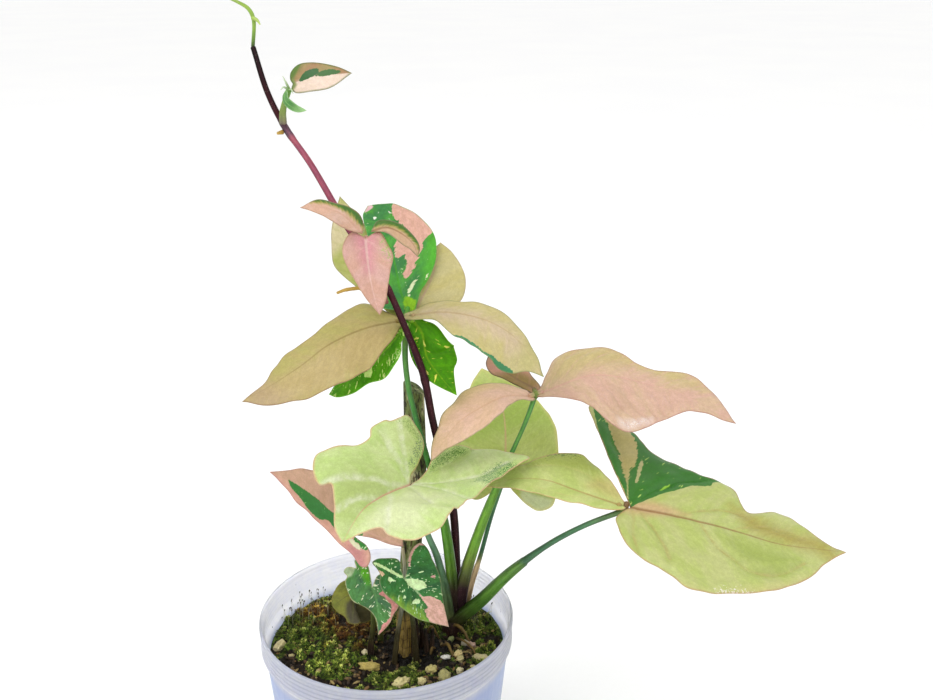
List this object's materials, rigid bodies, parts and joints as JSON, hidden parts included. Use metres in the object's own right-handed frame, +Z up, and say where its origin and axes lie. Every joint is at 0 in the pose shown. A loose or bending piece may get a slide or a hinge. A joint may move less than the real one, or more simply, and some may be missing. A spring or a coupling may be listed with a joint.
{
  "type": "arrowhead plant in a nursery pot",
  "caption": "Variegated arrowhead plant in a clear round nursery pot: lobed pink, cream and green leaves on slender stalks, one long climbing stem and an old stump.",
  "frame": {"origin": "centre of the underside of the pot, on the surface that it stands on", "axes": "+Z up along the pot's axis, -Y towards the side the picture was taken from, +X to that viewer's right"},
  "size_m": [0.2637, 0.1652, 0.3877],
  "materials": {
    "pot_plastic": "frosted clear, thin, faintly blue",
    "soil": "rough dark potting mix with moss",
    "chip": "dull bark and stone chips",
    "old_wood": "mottled olive and brown bark",
    "dark_stem": "smooth burgundy stem",
    "stalk_green": "smooth green stalk",
    "root_brown": "dry root",
    "pink": "satin leaf, pink",
    "salmon": "satin leaf, salmon",
    "tan": "satin leaf, tan",
    "beige": "satin leaf, beige",
    "olive": "satin leaf, olive",
    "lime": "satin leaf, light green",
    "green": "satin leaf, deep green with pale flecks"
  },
  "bodies": {
    "root": {"aerial_root": "root_brown", "chip_1": "chip", "chip_2": "chip", "chip_3": "chip", "chip_4": "chip", "chip_5": "chip", "chip_6": "chip", "chip_7": "chip", "chip_8": "chip", "climbing_stem": "dark_stem", "growing_tip": "stalk_green", "leaf10_blade": "green", "leaf10_stalk": "stalk_green", "leaf11_blade": "olive", "leaf11_stalk": "stalk_green", "leaf1_blade": "pink", "leaf1_side_lobe": "green", "leaf1_stalk": "stalk_green", "leaf2_left": "pink", "leaf2_middle": "pink", "leaf2_right": "pink", "leaf2_stalk": "stalk_green", "leaf3_back_left": "olive", "leaf3_back_right": "beige", "leaf3_left": "beige", "leaf3_lower_left": "green", "leaf3_lower_right": "green", "leaf3_right": "beige", "leaf3_top": "green", "leaf4_back": "tan", "leaf4_left": "salmon", "leaf4_right": "salmon", "leaf5_blade": "lime", "leaf6_blade": "lime", "leaf6_left_lobe": "lime", "leaf7_blade": "lime", "leaf8_blade": "salmon", "leaf8_stalk": "stalk_green", "leaf9_blade": "green", "leaf9_stalk": "stalk_green", "leaf_stalks": "stalk_green", "pot": "pot_plastic", "root_bud": "root_brown", "soil": "soil", "stump": "old_wood"}
  },
  "joints": []
}
